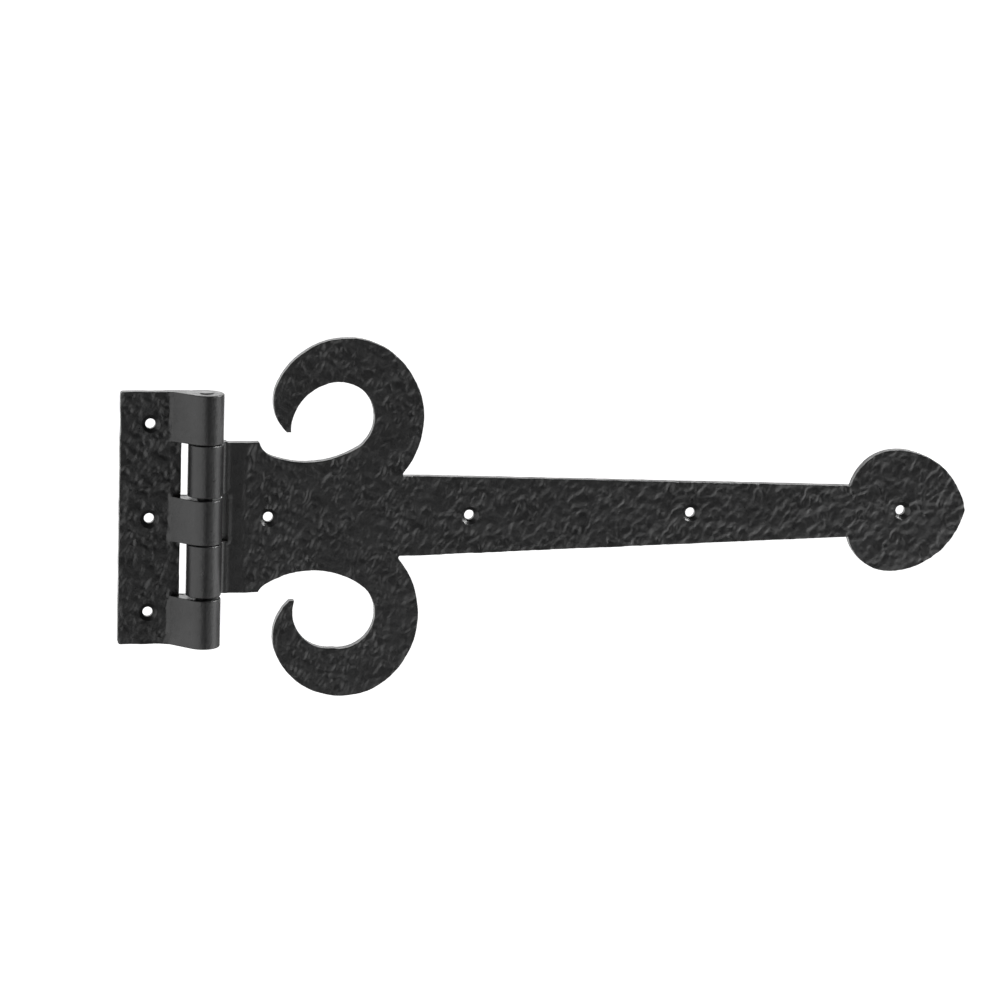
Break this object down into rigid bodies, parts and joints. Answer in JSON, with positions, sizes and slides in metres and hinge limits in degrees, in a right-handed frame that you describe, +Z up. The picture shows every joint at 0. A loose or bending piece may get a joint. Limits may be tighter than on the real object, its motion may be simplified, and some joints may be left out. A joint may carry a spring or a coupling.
{
  "type": "strap hinge",
  "caption": "Cast strap hinge with a rectangular frame leaf, scrolled tapered strap with a heart-shaped end, and a plain pin through interleaved knuckles.",
  "frame": {"origin": "middle of the frame leaf's line of three screw holes, on the plane of both leaves' flat backs", "axes": "+X along the strap from the frame leaf to the heart end, +Z up along the pin, front of the hinge towards -Y"},
  "size_m": [0.3507, 0.014, 0.1464],
  "materials": {
    "leaf_iron": "satin black paint over a rough hammered casting",
    "strap_iron": "satin black paint over a rough hammered casting",
    "pin_steel": "satin black paint over peened steel ends"
  },
  "bodies": {
    "frame_side": {"frame_leaf": "leaf_iron", "hinge_pin": "pin_steel"},
    "gate_side": {"strap_leaf": "strap_iron"}
  },
  "joints": [
    {"name": "strap_swing", "type": "hinge", "parent": "frame_side", "child": "gate_side", "pos_m": [0.0213, -0.007, 0], "axis": [0, 0, -1], "range_deg": [-90, 180]}
  ]
}
